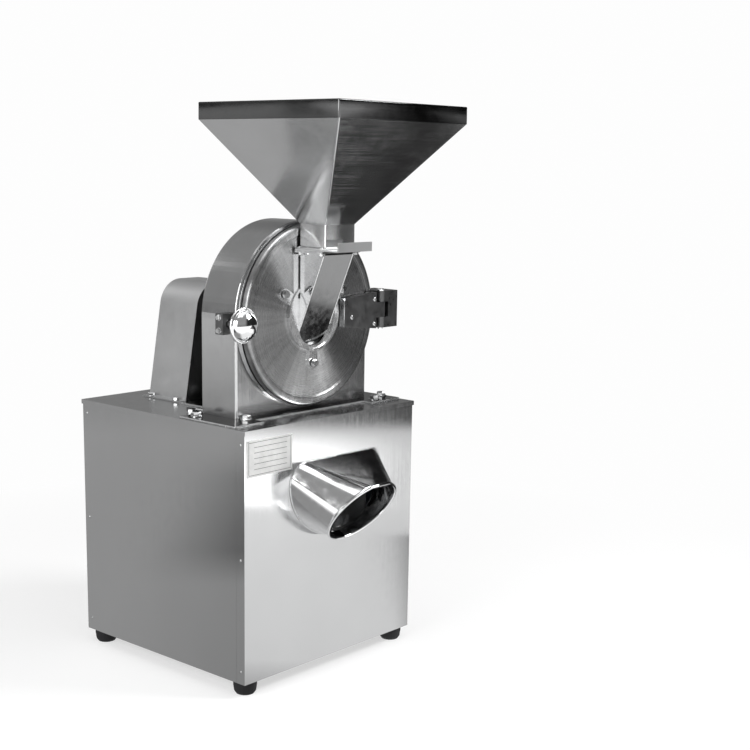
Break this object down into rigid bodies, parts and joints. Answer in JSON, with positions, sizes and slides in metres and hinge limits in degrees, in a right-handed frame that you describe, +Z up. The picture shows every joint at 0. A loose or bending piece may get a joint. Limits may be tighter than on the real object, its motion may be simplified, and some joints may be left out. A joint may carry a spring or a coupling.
{
  "type": "hammer mill",
  "caption": "Cabinet-mounted hammer mill: round housing with a hinged feed door, square hopper, slide gate, belt-driven rotor with hammer bars, and a slanted outlet spout.",
  "frame": {"origin": "on the floor, under the centre of the machine's bounding box", "axes": "+Z up, +X to the operator's right, -Y towards the operator"},
  "size_m": [0.543, 0.748, 1.242],
  "materials": {
    "brushed_sheet": "satin brushed stainless sheet",
    "polished_steel": "polished stainless sheet",
    "turned_steel": "turned, fine concentric marks",
    "chrome": "bright plated",
    "cast_iron": "dark machined casting",
    "tool_steel": "machined tool steel",
    "motor_paint": "semi-gloss enamel",
    "rubber": "matt black",
    "label_plate": "satin, no lettering"
  },
  "bodies": {
    "machine": {"cabinet_frame": "cast_iron", "front_panel": "brushed_sheet", "left_panel": "brushed_sheet", "right_panel": "brushed_sheet", "rear_panel": "brushed_sheet", "top_plate": "brushed_sheet", "foot_front_left": "rubber", "foot_front_right": "rubber", "foot_rear_left": "rubber", "foot_rear_right": "rubber", "outlet_spout": "polished_steel", "discharge_duct": "brushed_sheet", "nameplate": "label_plate", "cable_gland": "rubber", "mill_base": "brushed_sheet", "mill_housing": "turned_steel", "tooth_liner": "tool_steel", "ring_screen": "tool_steel", "bearing_housing": "cast_iron", "front_bearing": "chrome", "rear_bearing": "chrome", "belt_guard": "brushed_sheet", "hinge_bracket": "cast_iron", "hinge_pin": "chrome", "latch_block": "cast_iron", "motor_body": "motor_paint", "motor_fan_cover": "motor_paint", "motor_terminal_box": "motor_paint", "motor_slide_base": "cast_iron", "v_belt_front": "rubber", "v_belt_rear": "rubber"},
    "rotor": {"spindle": "tool_steel", "rotor_disc": "turned_steel", "hammer_bar_1": "tool_steel", "hammer_bar_2": "tool_steel", "hammer_bar_3": "tool_steel", "hammer_bar_4": "tool_steel", "hammer_bar_5": "tool_steel", "hammer_bar_6": "tool_steel", "hammer_bar_7": "tool_steel", "hammer_bar_8": "tool_steel", "rotor_nut": "chrome", "spindle_pulley": "cast_iron"},
    "door": {"door_disc": "turned_steel", "door_teeth": "tool_steel", "feed_collar": "polished_steel", "feed_chute": "polished_steel", "gate_guide": "brushed_sheet", "hopper": "brushed_sheet", "hinge_leaf": "cast_iron", "latch_lug": "cast_iron"},
    "gate": {"slide_gate": "brushed_sheet"},
    "latch_carrier": {"latch_washer": "chrome"},
    "latch": {"latch_screw": "tool_steel", "latch_knob": "chrome"},
    "motor_rotor": {"motor_shaft": "tool_steel", "motor_pulley": "cast_iron"}
  },
  "joints": [
    {"name": "door_swing", "type": "hinge", "parent": "machine", "child": "door", "pos_m": [0.22, -0.123, 0.793], "axis": [0, 0, 1], "range_deg": [0, 105]},
    {"name": "gate_slide", "type": "slide", "parent": "door", "child": "gate", "axis": [0, -1, 0], "range_m": [0, 0.068]},
    {"name": "latch_travel", "type": "slide", "parent": "door", "child": "latch_carrier", "axis": [0, -1, 0], "range_m": [0, 0.012]},
    {"name": "latch_turn", "type": "hinge", "parent": "latch_carrier", "child": "latch", "pos_m": [-0.223, -0.13, 0.789], "axis": [0, -1, 0], "range_deg": [0, 2160]},
    {"name": "rotor_spin", "type": "hinge", "parent": "machine", "child": "rotor", "pos_m": [0, -0.092, 0.793], "axis": [0, 1, 0], "continuous": true},
    {"name": "motor_spin", "type": "hinge", "parent": "machine", "child": "motor_rotor", "pos_m": [0, 0.1, 0.208], "axis": [0, 1, 0], "continuous": true}
  ],
  "couplings": [
    {"joint": "motor_spin", "follows": "rotor_spin", "ratio": 0.64286},
    {"joint": "latch_travel", "follows": "latch_turn", "m_per_rad": 0.0003183}
  ]
}
